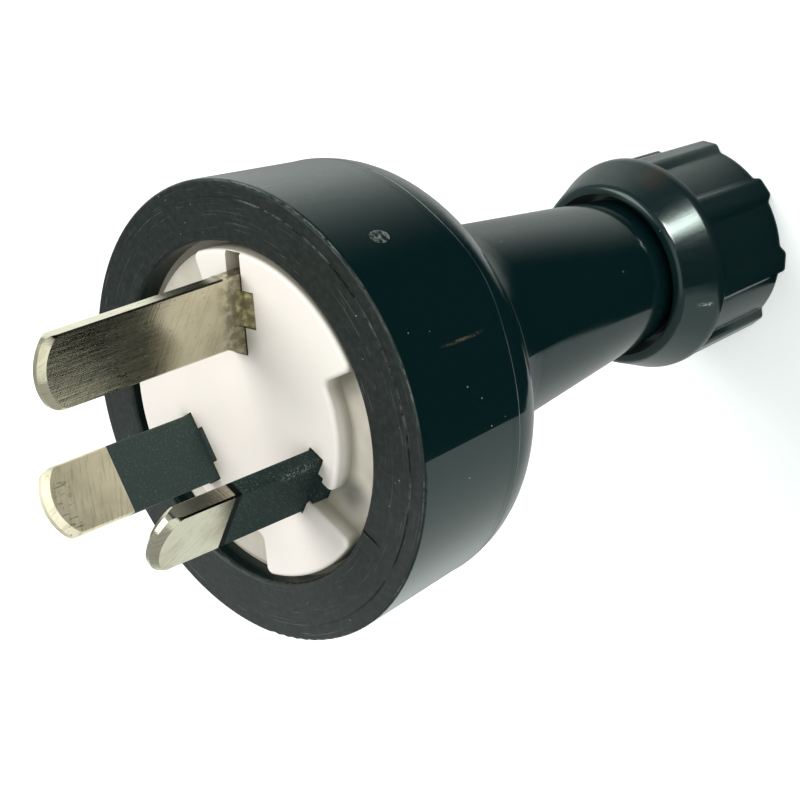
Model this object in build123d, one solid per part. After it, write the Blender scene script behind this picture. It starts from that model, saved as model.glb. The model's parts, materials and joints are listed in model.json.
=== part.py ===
from build123d import *
import os
from math import atan2, cos, degrees, radians, sin

# A rewirable three-pin plug. Sizes are in mm. It stands on its gland nut with the pins up: z = 0 is the nut's
# end, Z is the cover's axis and the earth pin is on +Y. The cord is not part of it.

# Fits
turn_gap = 0.3  # between stacked pieces that move on each other
push_gap = 0.1  # round a piece pushed into a moulding
mould_gap = 0.02  # between a pin's neck and the sleeve moulded on it
screw_gap = 0.05  # round a clamp screw's thread, which is plain here

# Gland nut
nut_length = 15.7
nut_grip_length = 9.3  # from the end to the collar
nut_collar_rise = 1.3  # length of the slope from the grip to the collar
nut_collar_band = 0.8  # length of the collar's widest part
nut_collar_step = 1.7  # of the collar over the mouth
nut_crest_radius = 10.35
nut_rib_height = 0.7
nut_rib_count = 8
nut_rib_turn = -5.7  # degrees, of the first rib from X
nut_rib_width = 1.9  # at the crest
nut_rib_spread = 3.7  # of the flanks, as far below the grip as the crest is above it
nut_rib_round = 0.5
nut_draft = 2.0  # degrees
nut_end_wall = 2.6
nut_hole_radius = 5.2
nut_mouth_depth = 2.7
nut_mouth_wall = 0.8
nut_edge_round = 0.9
nut_collar_round = 1.6  # from the collar's band to its front slope

# Cord grip inside the nut
washer_thickness = 1.0
washer_ring = 0.9  # width of the ring
grommet_flange = 1.5
grommet_plug_length = 4.0
grommet_wall = 0.6  # at the plug's thin end
grommet_taper = 0.7  # narrowing of the plug along its length

# Cover
thread_depth = 0.35  # the band that the thread fills, left plain here
spigot_wall = 1.6
neck_step = 0.7  # of the neck over the spigot
neck_inset = 2.2  # length of the neck inside the nut's mouth
neck_clear = 1.0  # round the neck's end, inside the nut's mouth
neck_rear_radius = 7.3
neck_front_radius = 10.0
neck_length = 23.5
bell_radius = 17.8  # at the crease between bell and shoulder
bell_length = 10.0
shoulder_length = 4.9
skirt_radius = 19.8
skirt_length = 12.1
face_radius = 20.9
face_edge_round = 0.35
band_radius = 19.3  # the fine step on the face
band_step = 0.12
cover_wall = 2.4
lip_thickness = 2.4
lip_radius = 15.5
lip_offset = (-0.6, -0.15)  # of the lip's opening, as it sits in the photo
lip_round = 0.4
flange_ledge = 0.9

# Terminal base
base_proud = 0.2  # of its face over the cover's face
pad_clear = 0.7  # between the pad and the lip's opening, if they shared one centre
pad_edge_round = 0.4
flange_radius = 17.6
flange_thickness = 4.0
pocket_depth = 1.8
pocket_radius = 11.1
pocket_corner = 0.7
pocket_run_width = 2.7  # of the pocket's arm that reaches the neutral pin
pocket_run_shift = -0.4
pocket_angles = ((-32, 26), (111, 148), (-160, -88))
tower_height = 6.8
tower_wall = 1.2
tower_reach = 3.4

# Pins
pattern_shift = -0.55  # of the pins' centre from the cover's axis, along Y
earth_pitch = 10.31
live_pitch = 7.92
live_angle = 30  # of a live pin below the X axis
pin_width = 6.3
pin_thickness = 1.6
earth_length = 21.5
live_length = 17.4
tip_bulge = 1.3
tip_corner = 1.3
tip_bevel = 0.55
side_bevel = 0.15  # along the blade
pin_seat = 3.5  # depth of the pin's seat below the base's face
tail_width = 5.1
tail_thickness = 1.0
tail_length = 7.4  # behind the base
root_flare = 0.9
root_height = 1.9
root_slack = 1.7  # empty end of the earth pin's slot
earth_tab_reach = 1.45
live_tab_reach = 0.75
tab_width = 3.3
sleeve_length = 9.7
sleeve_round = 0.25

# Box clamps and screws
clamp_wall = 0.9
clamp_screw_wall = 1.8
clamp_room = 2.5  # for the wire, between the tail and the screw's wall
clamp_length = 6.4
clamp_side = 0.25  # between the tail's edges and the tunnel
screw_radius = 1.5
screw_length = 5.0
screw_head_radius = 2.4
screw_head_height = 1.6
screw_slot_width = 0.6
screw_slot_depth = 0.8

# Radii, each from the ones before it
nut_grip_radius = nut_crest_radius - nut_rib_height
nut_mouth_bore = neck_rear_radius + neck_clear
nut_mouth_radius = nut_mouth_bore + nut_mouth_wall
nut_collar_radius = nut_mouth_radius + nut_collar_step
spigot_radius = neck_rear_radius - neck_step
spigot_bore = spigot_radius - spigot_wall
thread_radius = spigot_radius + thread_depth
washer_bore = spigot_radius - washer_ring
grommet_bore = spigot_bore - grommet_wall
groove_radius = flange_radius + push_gap
pad_radius = lip_radius - pad_clear
beyond = 2 * face_radius  # a length that reaches out of every piece

# Heights, each from the ones before it
nut_collar_rear = nut_grip_length + nut_collar_rise
nut_collar_front = nut_collar_rear + nut_collar_band
washer_z = nut_end_wall + turn_gap
grommet_z = washer_z + washer_thickness + turn_gap
spigot_z = grommet_z + grommet_flange
neck_z = nut_length - neck_inset
bell_z = neck_z + neck_length
shoulder_z = bell_z + bell_length
skirt_z = shoulder_z + shoulder_length
face_z = skirt_z + skirt_length
lip_z = face_z - lip_thickness
base_z = lip_z - flange_thickness
pad_z = face_z + base_proud
floor_z = pad_z - pocket_depth
seat_z = pad_z - pin_seat
sleeve_z = pad_z + sleeve_length
tail_z = base_z - tail_length


def turned(profile):
    """Solid of revolution round Z of a face drawn in radius and height."""
    return revolve(Plane.XZ * profile, Axis.Z)


def soften(profile, radius, *corners):
    """The face with the corners nearest to these points rounded."""
    for corner in corners:
        vertex = profile.vertices().sort_by_distance(Vector(*corner))[0]
        profile = fillet(vertex, radius)
    return profile


def outline(*points):
    """Face inside a closed polygon."""
    return make_face(Polyline(*points, close=True))


def block(low, high):
    """Box between two opposite corners."""
    size = Vector(*high) - Vector(*low)
    return Pos(*low) * Box(size.X, size.Y, size.Z, align=(Align.MIN, Align.MIN, Align.MIN))


def polar(radius, angle):
    """Point on a circle round the axis, with the angle in degrees."""
    return (radius * cos(radians(angle)), radius * sin(radians(angle)))


def arc_about(centre, radius, start, end):
    """Arc between two angles in degrees, drawn through the angle midway."""
    points = [Vector(*centre) + Vector(*polar(radius, angle)) for angle in (start, (start + end) / 2, end)]
    return ThreePointArc(*points)


def circles(solid, radius):
    """The solid's circular edges of this radius, from the lowest up."""
    edges = solid.edges().filter_by(GeomType.CIRCLE)
    return edges.filter_by(lambda edge: abs(edge.radius - radius) < mould_gap).sort_by(Axis.Z)


def make_cover():
    """One moulding: lip, skirt, shoulder, bell, neck and the spigot inside the nut."""
    # The bell is an arc tangent to the neck's cone that ends at the crease
    along = Vector(neck_front_radius - neck_rear_radius, neck_length).normalized()
    outward = Vector(along.Y, -along.X)
    rise = Vector(bell_radius - neck_front_radius, bell_length)
    bell_arc = rise.length**2 / (2 * rise.dot(outward))
    bell_centre = Vector(neck_front_radius, bell_z) + outward * bell_arc
    bell_start = degrees(atan2(-outward.Y, -outward.X)) % 360
    to_crease = Vector(bell_radius, shoulder_z) - bell_centre
    bell_end = degrees(atan2(to_crease.Y, to_crease.X)) % 360
    # The shoulder is an arc that ends upright at the skirt
    step = skirt_radius - bell_radius
    shoulder_arc = (step**2 + shoulder_length**2) / (2 * step)
    shoulder_centre = Vector(skirt_radius - shoulder_arc, skirt_z)
    shoulder_start = degrees(atan2(-shoulder_length, bell_radius - shoulder_centre.X))
    bell = arc_about(bell_centre, bell_arc, bell_start, bell_end)
    shoulder = arc_about(shoulder_centre, shoulder_arc, shoulder_start, 0)
    inner_bell = arc_about(bell_centre, bell_arc + cover_wall, bell_end, bell_start)
    blank_radius = lip_radius - lip_thickness  # before the lip's opening is cut
    mouth_radius = spigot_bore + grommet_taper
    outside = Polyline(
        (mouth_radius, spigot_z),
        (spigot_radius, spigot_z),
        (spigot_radius, neck_z),
        (neck_rear_radius, neck_z),
        bell @ 0,
    )
    front = Polyline(
        shoulder @ 1,
        (face_radius, face_z - band_step),
        (band_radius, face_z - band_step),
        (band_radius, face_z),
        (blank_radius, face_z),
        (blank_radius, lip_z),
        (groove_radius, lip_z),
        (groove_radius, base_z),
        (groove_radius - flange_ledge, base_z),
        (groove_radius - flange_ledge, skirt_z),
        inner_bell @ 0,
    )
    inside = Polyline(
        inner_bell @ 1,
        (spigot_bore, neck_z),
        (spigot_bore, spigot_z + grommet_plug_length),
        (mouth_radius, spigot_z),
    )
    profile = make_face([outside, bell, shoulder, front, inner_bell, inside])
    profile = soften(profile, face_edge_round, (face_radius, face_z - band_step))
    opening = Pos(*lip_offset, lip_z) * Cylinder(lip_radius, 2 * lip_thickness)
    cover = turned(profile) - opening
    return fillet(circles(cover, lip_radius)[-1], lip_round)


def make_nut():
    """Ribbed gland nut with a collar, a plain thread band and the cord's hole."""
    core = Circle(nut_grip_radius)
    foot = 2 * nut_grip_radius - nut_crest_radius
    half, spread = nut_rib_width / 2, nut_rib_spread / 2
    crest = [(nut_crest_radius, -half), (nut_crest_radius, half)]
    rib = outline((0, 0), (foot, -spread), *crest, (foot, spread))
    turns = PolarLocations(0, nut_rib_count, start_angle=nut_rib_turn)
    section = core + [turn * rib for turn in turns]
    section = fillet([v for v in section.vertices() if Vector(v).length > nut_crest_radius], nut_rib_round)
    near_grip = nut_grip_radius + nut_rib_height / 3
    section = fillet([v for v in section.vertices() if Vector(v).length < near_grip], nut_rib_round)
    grip = extrude(section, nut_collar_rear, taper=-nut_draft)
    end = outline((0, 0), (nut_crest_radius, 0), (beyond, nut_length), (0, nut_length))
    grip &= turned(soften(end, nut_edge_round, (nut_crest_radius, 0)))
    collar = outline(
        (thread_radius, nut_grip_length),
        (nut_grip_radius, nut_grip_length),
        (nut_collar_radius, nut_collar_rear),
        (nut_collar_radius, nut_collar_front),
        (nut_mouth_radius, nut_length),
        (thread_radius, nut_length),
    )
    collar = soften(collar, nut_edge_round / 2, (nut_collar_radius, nut_collar_rear))
    collar = soften(collar, nut_collar_round, (nut_collar_radius, nut_collar_front))
    collar = soften(collar, nut_edge_round, (nut_mouth_radius, nut_length))
    hollow = outline(
        (0, nut_end_wall),
        (thread_radius, nut_end_wall),
        (thread_radius, nut_length - nut_mouth_depth),
        (nut_mouth_bore, nut_length - nut_mouth_depth),
        (nut_mouth_bore, nut_length),
        (0, nut_length),
    )
    hole = Cylinder(nut_hole_radius, nut_end_wall, align=(Align.CENTER, Align.CENTER, Align.MIN))
    nut = grip + turned(collar) - turned(hollow) - hole
    return fillet(circles(nut, nut_hole_radius)[0], nut_edge_round / 2)


def make_washer():
    """Flat ring between the nut's end wall and the grommet."""
    ring = outline(
        (washer_bore, washer_z),
        (spigot_radius, washer_z),
        (spigot_radius, washer_z + washer_thickness),
        (washer_bore, washer_z + washer_thickness),
    )
    return turned(ring)


def make_grommet():
    """Rubber ring with a tapered plug in the spigot's mouth."""
    ring = outline(
        (grommet_bore, grommet_z),
        (spigot_radius, grommet_z),
        (spigot_radius, spigot_z),
        (spigot_bore + grommet_taper - mould_gap, spigot_z),
        (spigot_bore - mould_gap, spigot_z + grommet_plug_length),
        (grommet_bore, spigot_z + grommet_plug_length),
    )
    return turned(ring)


def pin_place(name):
    """Frame of a pin: x across its thickness towards the tab, y across its width, z along the plug."""
    x, y = polar(live_pitch, -live_angle)
    places = {
        "earth": Pos(0, earth_pitch + pattern_shift),
        "active": Pos(-x, y + pattern_shift) * Rot(Z=live_angle),
        "neutral": Pos(x, y + pattern_shift) * Rot(Z=-live_angle),
    }
    return places[name]


def blade_face(half, low, tip):
    """Outline of a blade with an arched tip, drawn in width and height."""
    arch = (pin_width**2 / 4 + tip_bulge**2) / (2 * tip_bulge)
    side_z = tip - arch + (arch**2 - half**2) ** 0.5
    sides = Polyline((-half, side_z), (-half, low), (half, low), (half, side_z))
    end = ThreePointArc((half, side_z), (0, tip), (-half, side_z))
    return soften(make_face([sides, end]), tip_corner, (half, side_z), (-half, side_z))


def make_blade(low, tip):
    """Flat blade with a rounded tip, standing on its own axis."""
    half = pin_width / 2
    blade = extrude(Plane.YZ * blade_face(half, low, tip), pin_thickness / 2, both=True)
    # The bevel comes from a wider blade, so that it thins out round the corners
    wide = blade_face(half + tip_bevel - side_bevel, low, tip)
    ground = extrude(Plane.YZ * wide, pin_thickness / 2, both=True)
    return blade & chamfer(ground.edges().filter_by(GeomType.CIRCLE), tip_bevel)


def make_tail(top):
    """The pin's thinner part, from this height down to the clamp."""
    x, y = tail_thickness / 2, tail_width / 2
    return block((-x, -y, tail_z), (x, y, top))


def make_tab(reach):
    """Side lug that keys a pin in its slot."""
    x, y = pin_thickness / 2 + reach - push_gap, tab_width / 2 - push_gap
    return block((0, -y, seat_z), (x, y, pad_z - push_gap))


def make_earth_pin():
    """Bare blade with a flared root."""
    half = pin_width / 2
    flare = outline(
        (-half, pad_z + root_height),
        (-half - root_flare, pad_z),
        (-half - root_flare, seat_z),
        (half, seat_z),
        (half, pad_z + root_height),
    )
    root = extrude(Plane.YZ * flare, pin_thickness / 2, both=True)
    return make_blade(pad_z, pad_z + earth_length) + root + make_tail(seat_z) + make_tab(earth_tab_reach)


def make_live_pin():
    """Blade that narrows inside its sleeve."""
    return make_blade(sleeve_z, pad_z + live_length) + make_tail(sleeve_z)


def make_sleeve():
    """Insulation, flush with the blade, with the tab that keys it in the base."""
    x, y = pin_thickness / 2, pin_width / 2
    sleeve = block((-x, -y, seat_z), (x, y, sleeve_z))
    sleeve = fillet(sleeve.edges().filter_by(Axis.Z), sleeve_round)
    x, y = tail_thickness / 2 + mould_gap, tail_width / 2 + mould_gap
    return sleeve + make_tab(live_tab_reach) - block((-x, -y, seat_z), (x, y, sleeve_z))


def clamp_sizes():
    """Depths of a box clamp across the tail: back, wire room and outer face."""
    back = -tail_thickness / 2 - clamp_wall
    room = tail_thickness / 2 + clamp_room
    return back, room, room + clamp_screw_wall


def make_clamp():
    """Brass box round the tail, open along the pin, with the screw's hole."""
    back, room, face = clamp_sizes()
    inner = tail_width / 2 + clamp_side
    outer = inner + clamp_wall
    clamp = block((back, -outer, base_z - clamp_length), (face, outer, base_z))
    clamp -= block((back + clamp_wall, -inner, base_z - clamp_length), (room, inner, base_z))
    across = Pos(room, 0, base_z - clamp_length / 2) * Rot(Y=90)
    return clamp - across * Cylinder(screw_radius + screw_gap, 2 * clamp_screw_wall + push_gap)


def make_screw():
    """Slotted clamp screw, run down on the tail."""
    start = tail_thickness / 2 + push_gap
    low = (Align.CENTER, Align.CENTER, Align.MIN)
    screw = Cylinder(screw_radius, screw_length, align=low)
    head = Pos(Z=screw_length) * Cylinder(screw_head_radius, screw_head_height, align=low)
    top = screw_length + screw_head_height
    slot = Pos(Z=top) * Box(beyond, screw_slot_width, 2 * screw_slot_depth)
    return Pos(start, 0, base_z - clamp_length / 2) * Rot(Y=90) * (screw + head - slot)


def make_tower():
    """Walls behind the base that hold one box clamp."""
    back, room, face = clamp_sizes()
    hold = tail_width / 2 + clamp_side + clamp_wall + push_gap
    side = hold + tower_wall
    rear = back - push_gap
    walls = block((rear - tower_wall, -side, base_z - tower_height), (tower_reach, side, base_z))
    return walls - block((rear, -hold, base_z - tower_height), (face, hold, base_z))


def make_slot(low, high, reach):
    """Cut for a pin: the blade with its tab, and the narrow way for its tail."""
    x = pin_thickness / 2 + push_gap
    tab = tab_width / 2
    upper = block((-x, low - push_gap, seat_z), (x, high + push_gap, beyond + pad_z))
    notch = block((0, -tab, seat_z), (pin_thickness / 2 + reach, tab, beyond + pad_z))
    x, y = tail_thickness / 2 + push_gap, tail_width / 2 + push_gap
    return upper + notch + block((-x, -y, 0), (x, y, pad_z))


def make_base():
    """White moulding with the face's pockets, the flange and the clamps' towers."""
    disc = outline(
        (0, base_z),
        (flange_radius, base_z),
        (flange_radius, lip_z),
        (pad_radius, lip_z),
        (pad_radius, floor_z),
        (0, floor_z),
    )
    pad = Circle(pad_radius)
    for start, end in pocket_angles:
        middle = (start + end) / 2
        sector = outline((0, 0), polar(beyond, start), polar(beyond, middle), polar(beyond, end))
        pad -= sector - Circle(pocket_radius)
    run = Pos(Y=pocket_run_shift) * Rectangle(beyond, pocket_run_width, align=(Align.MIN, Align.CENTER))
    pad -= pin_place("neutral") * run
    pad = fillet(pad.vertices(), pocket_corner)
    raised = extrude(Pos(Z=floor_z) * pad, pocket_depth)
    raised = fillet(raised.edges().group_by(Axis.Z)[-1], pad_edge_round)
    base = turned(disc) + raised
    half = pin_width / 2
    for name, side in clamp_turns.items():
        base += pin_place(name) * side * make_tower()
    base -= pin_place("earth") * make_slot(-half - root_flare, half + root_slack, earth_tab_reach)
    for name in ("active", "neutral"):
        base -= pin_place(name) * make_slot(-half, half, live_tab_reach)
    return base


# The clamps open outwards, so the active one is turned away from its pin's tab
clamp_turns = {"earth": Rot(), "active": Rot(Z=180), "neutral": Rot()}

pieces = {
    "cover_shell": make_cover(),
    "terminal_base": make_base(),
    "earth_pin": pin_place("earth") * make_earth_pin(),
    "active_pin": pin_place("active") * make_live_pin(),
    "neutral_pin": pin_place("neutral") * make_live_pin(),
    "active_sleeve": pin_place("active") * make_sleeve(),
    "neutral_sleeve": pin_place("neutral") * make_sleeve(),
    "cord_grommet": make_grommet(),
    "slip_washer": make_washer(),
    "gland_nut": make_nut(),
}
for name, side in clamp_turns.items():
    pieces[f"{name}_clamp"] = pin_place(name) * side * make_clamp()
    pieces[f"{name}_screw"] = pin_place(name) * side * make_screw()

os.makedirs("parts", exist_ok=True)
for name, piece in pieces.items():
    export_step(piece, f"parts/{name}.step")
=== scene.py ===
"""Looks of a rewirable three-pin plug: finishes, moulding marks, thread, studio and camera."""

import json
import logging
import math
from collections.abc import Callable
from dataclasses import dataclass
from enum import Enum

import bpy
from mathutils import Matrix, Vector

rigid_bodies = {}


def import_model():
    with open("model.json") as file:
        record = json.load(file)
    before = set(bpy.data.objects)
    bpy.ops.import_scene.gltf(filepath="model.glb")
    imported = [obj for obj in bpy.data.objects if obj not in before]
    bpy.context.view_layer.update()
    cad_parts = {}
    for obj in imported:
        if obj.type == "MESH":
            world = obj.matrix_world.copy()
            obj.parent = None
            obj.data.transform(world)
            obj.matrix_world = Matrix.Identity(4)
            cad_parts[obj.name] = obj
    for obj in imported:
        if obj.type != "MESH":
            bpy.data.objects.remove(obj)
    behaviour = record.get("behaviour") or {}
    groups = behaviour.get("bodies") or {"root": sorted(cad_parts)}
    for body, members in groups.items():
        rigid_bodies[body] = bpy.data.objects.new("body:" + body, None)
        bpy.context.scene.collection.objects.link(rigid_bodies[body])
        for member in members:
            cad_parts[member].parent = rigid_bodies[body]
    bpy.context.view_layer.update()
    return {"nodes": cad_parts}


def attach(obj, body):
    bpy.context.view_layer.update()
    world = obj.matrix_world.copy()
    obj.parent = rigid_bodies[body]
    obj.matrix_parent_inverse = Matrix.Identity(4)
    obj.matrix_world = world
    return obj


log = logging.getLogger("plug")
MM = 0.001
DOUBLES = 1e-7  # metres, points closer than this are merged

Colour = tuple[float, float, float]
Point = tuple[float, float, float]
Span = tuple[float, float]
Socket = bpy.types.NodeSocket
Material = bpy.types.Material
Object = bpy.types.Object
Number = Socket | float
Tone = Socket | Colour
Value = Number | Tone


class Body(Enum):
    """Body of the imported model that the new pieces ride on."""

    PLUG = "plug_body"


class Slot(Enum):
    """Material slot of the record that the new pieces belong to."""

    COVER = "cover_black"


class Op(Enum):
    """Sums that the finishes work with."""

    ADD = "ADD"
    TAKE = "SUBTRACT"
    TIMES = "MULTIPLY"
    LESS = "LESS_THAN"
    SIZE = "ABSOLUTE"
    ANGLE = "ARCTAN2"


class Graph:
    """Node tree of one material, with short calls for the nodes that the finishes use."""

    BAND_CORE = 0.3  # share of a band's half width that is full
    SPECK_CORE = 0.5  # share of a speck's radius that is full

    def __init__(self, name: str) -> None:
        """Starts a material with a Principled shader and object coordinates.

        Args:
            name: Name of the new material.
        """
        self.material = bpy.data.materials.new(name)
        self.material.use_nodes = True
        self.tree = self.material.node_tree
        self.shader = self.tree.nodes["Principled BSDF"]
        self.place = self.add("ShaderNodeTexCoord", {}).outputs["Object"]

    def add(self, kind: str, inputs: dict[int | str, Value], **settings: object) -> bpy.types.ShaderNode:
        """Adds a node and feeds its inputs.

        Args:
            kind: Type name of the node.
            inputs: What the inputs get, by their names or numbers.
            settings: Properties to set on the node.

        Returns:
            The new node.
        """
        node = self.tree.nodes.new(kind)
        for key, value in settings.items():
            setattr(node, key, value)
        for key, value in inputs.items():
            self.feed(node.inputs[key], value)
        return node

    def feed(self, socket: Socket, value: Value) -> None:
        """Links an output to a socket, or sets the socket to a plain value.

        Args:
            socket: The input.
            value: An output socket, a number, a colour or a vector.
        """
        if isinstance(value, Socket):
            self.tree.links.new(value, socket)
        elif isinstance(value, tuple) and len(value) == 3 and socket.type == "RGBA":
            socket.default_value = (*value, 1.0)
        else:
            socket.default_value = value

    def sum(self, op: Op, first: Number, second: Number = 0.0) -> Socket:
        """Works out one step of arithmetic.

        Args:
            op: What to do.
            first: Output socket or number.
            second: Output socket or number.

        Returns:
            The result's socket.
        """
        return self.add("ShaderNodeMath", {0: first, 1: second}, operation=op.value).outputs[0]

    def product(self, *factors: Number) -> Socket:
        """Multiplies masks and numbers.

        Args:
            factors: Output sockets or numbers, two or more.

        Returns:
            The result's socket.
        """
        total = factors[0]
        for factor in factors[1:]:
            total = self.sum(Op.TIMES, total, factor)
        return total

    def step(self, value: Socket, low: float, high: float) -> Socket:
        """Smooth rise from 0 to 1 between two values, or a fall if low is the larger.

        Args:
            value: Output socket.
            low: Where the rise starts.
            high: Where it ends.

        Returns:
            The result's socket.
        """
        inputs = {
            "Value": value,
            "From Min": min(low, high),
            "From Max": max(low, high),
            "To Min": float(low >= high),
            "To Max": float(low < high),
        }
        return self.add("ShaderNodeMapRange", inputs, interpolation_type="SMOOTHSTEP").outputs["Result"]

    def span(self, value: Socket, low: float, high: float) -> Socket:
        """Spreads a 0 to 1 value evenly over a range.

        Args:
            value: Output socket.
            low: Result at 0.
            high: Result at 1.

        Returns:
            The result's socket.
        """
        inputs = {"Value": value, "To Min": low, "To Max": high}
        return self.add("ShaderNodeMapRange", inputs).outputs["Result"]

    def band(self, value: Socket, middle: float, half: float) -> Socket:
        """Mask that is 1 near one value and fades out on both sides of it.

        Args:
            value: Output socket.
            middle: The value at the mask's middle.
            half: Distance at which the mask is gone.

        Returns:
            The mask's socket.
        """
        away = self.sum(Op.SIZE, self.sum(Op.TAKE, value, middle))
        return self.step(away, half, half * self.BAND_CORE)

    def within(self, value: Socket, ends: Span, reach: float = 0.5) -> Socket:
        """Band from one value to another.

        Args:
            value: Output socket.
            ends: The two values.
            reach: How far from the middle the band is gone, as a share of its length.

        Returns:
            The mask's socket.
        """
        low, high = ends
        return self.band(value, (low + high) / 2, (high - low) * reach)

    def mix(self, share: Number, first: Number, second: Number) -> Socket:
        """Mixes two numbers.

        Args:
            share: How much of the second, 0 to 1.
            first: Output socket or number.
            second: Output socket or number.

        Returns:
            The mixed number's socket.
        """
        inputs = {0: share, 2: first, 3: second}  # the node's sockets for numbers
        return self.add("ShaderNodeMix", inputs).outputs[0]

    def blend(self, share: Number, first: Tone, second: Tone) -> Socket:
        """Mixes two colours.

        Args:
            share: How much of the second, 0 to 1.
            first: Colour or output socket.
            second: Colour or output socket.

        Returns:
            The mixed colour's socket.
        """
        inputs = {0: share, 6: first, 7: second}  # the node's sockets for colours
        return self.add("ShaderNodeMix", inputs, data_type="RGBA").outputs[2]

    def stretch(self, vector: Socket, scale: Point) -> Socket:
        """Scales a vector by axis.

        Args:
            vector: Output socket.
            scale: Factor along each axis.

        Returns:
            The scaled vector's socket.
        """
        return self.add("ShaderNodeVectorMath", {0: vector, 1: scale}, operation="MULTIPLY").outputs[0]

    def reach(self, point: Point, scale: Point = (1.0, 1.0, 1.0)) -> Socket:
        """Distance from a point on the piece.

        Args:
            point: The point in metres.
            scale: Weight of each axis, 0 to leave one out.

        Returns:
            The distance's socket, in metres.
        """
        apart = self.add("ShaderNodeVectorMath", {0: self.place, 1: point}, operation="SUBTRACT")
        inputs = {0: self.stretch(apart.outputs[0], scale)}
        return self.add("ShaderNodeVectorMath", inputs, operation="LENGTH").outputs["Value"]

    def join(self, *parts: Number) -> Socket:
        """Makes a vector of three values.

        Args:
            parts: Output sockets or numbers, one for each axis.

        Returns:
            The vector's socket.
        """
        return self.add("ShaderNodeCombineXYZ", dict(enumerate(parts))).outputs[0]

    def round_place(self) -> tuple[Socket, Socket, Socket]:
        """Place on the turned shapes.

        Returns:
            Radius and height in metres and the angle round the axis in radians.
        """
        x, y, height = self.add("ShaderNodeSeparateXYZ", {0: self.place}).outputs
        radius = self.reach((0.0, 0.0, 0.0), (1.0, 1.0, 0.0))
        return radius, height, self.sum(Op.ANGLE, y, x)

    def noise(self, scale: float, detail: float = 3.0, vector: Socket | None = None) -> Socket:
        """Soft noise.

        Args:
            scale: Waves per unit of the vector.
            detail: Number of finer layers.
            vector: Output socket, or None for object coordinates.

        Returns:
            The noise's value, 0 to 1.
        """
        inputs = {"Vector": vector or self.place, "Scale": scale, "Detail": detail}
        return self.add("ShaderNodeTexNoise", inputs).outputs["Fac"]

    def specks(self, scale: float, size: float, share: float) -> Socket:
        """Small scattered dots.

        Args:
            scale: Cells per metre.
            size: Radius of a dot as a share of a cell.
            share: How many of the cells have one, 0 to 1.

        Returns:
            A mask that is 1 in the dots.
        """
        cells = self.add("ShaderNodeTexVoronoi", {"Vector": self.place, "Scale": scale})
        dots = self.step(cells.outputs["Distance"], size, size * self.SPECK_CORE)
        chance = self.add("ShaderNodeSeparateColor", {0: cells.outputs["Color"]})
        return self.product(dots, self.sum(Op.LESS, chance.outputs[0], share))

    def set(self, **values: Value) -> None:
        """Feeds sockets of the shader.

        Args:
            values: Socket names with _ for a space, and what each one gets.
        """
        for key, value in values.items():
            self.feed(self.shader.inputs[key.replace("_", " ")], value)

    def bump(self, height: Socket, depth: float, strength: float) -> None:
        """Gives the shader a fine relief.

        Args:
            height: Output socket, 0 to 1.
            depth: Height of 1 in metres.
            strength: How much of it shows.
        """
        inputs = {"Strength": strength, "Distance": depth, "Height": height}
        self.set(Normal=self.add("ShaderNodeBump", inputs).outputs[0])


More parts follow.
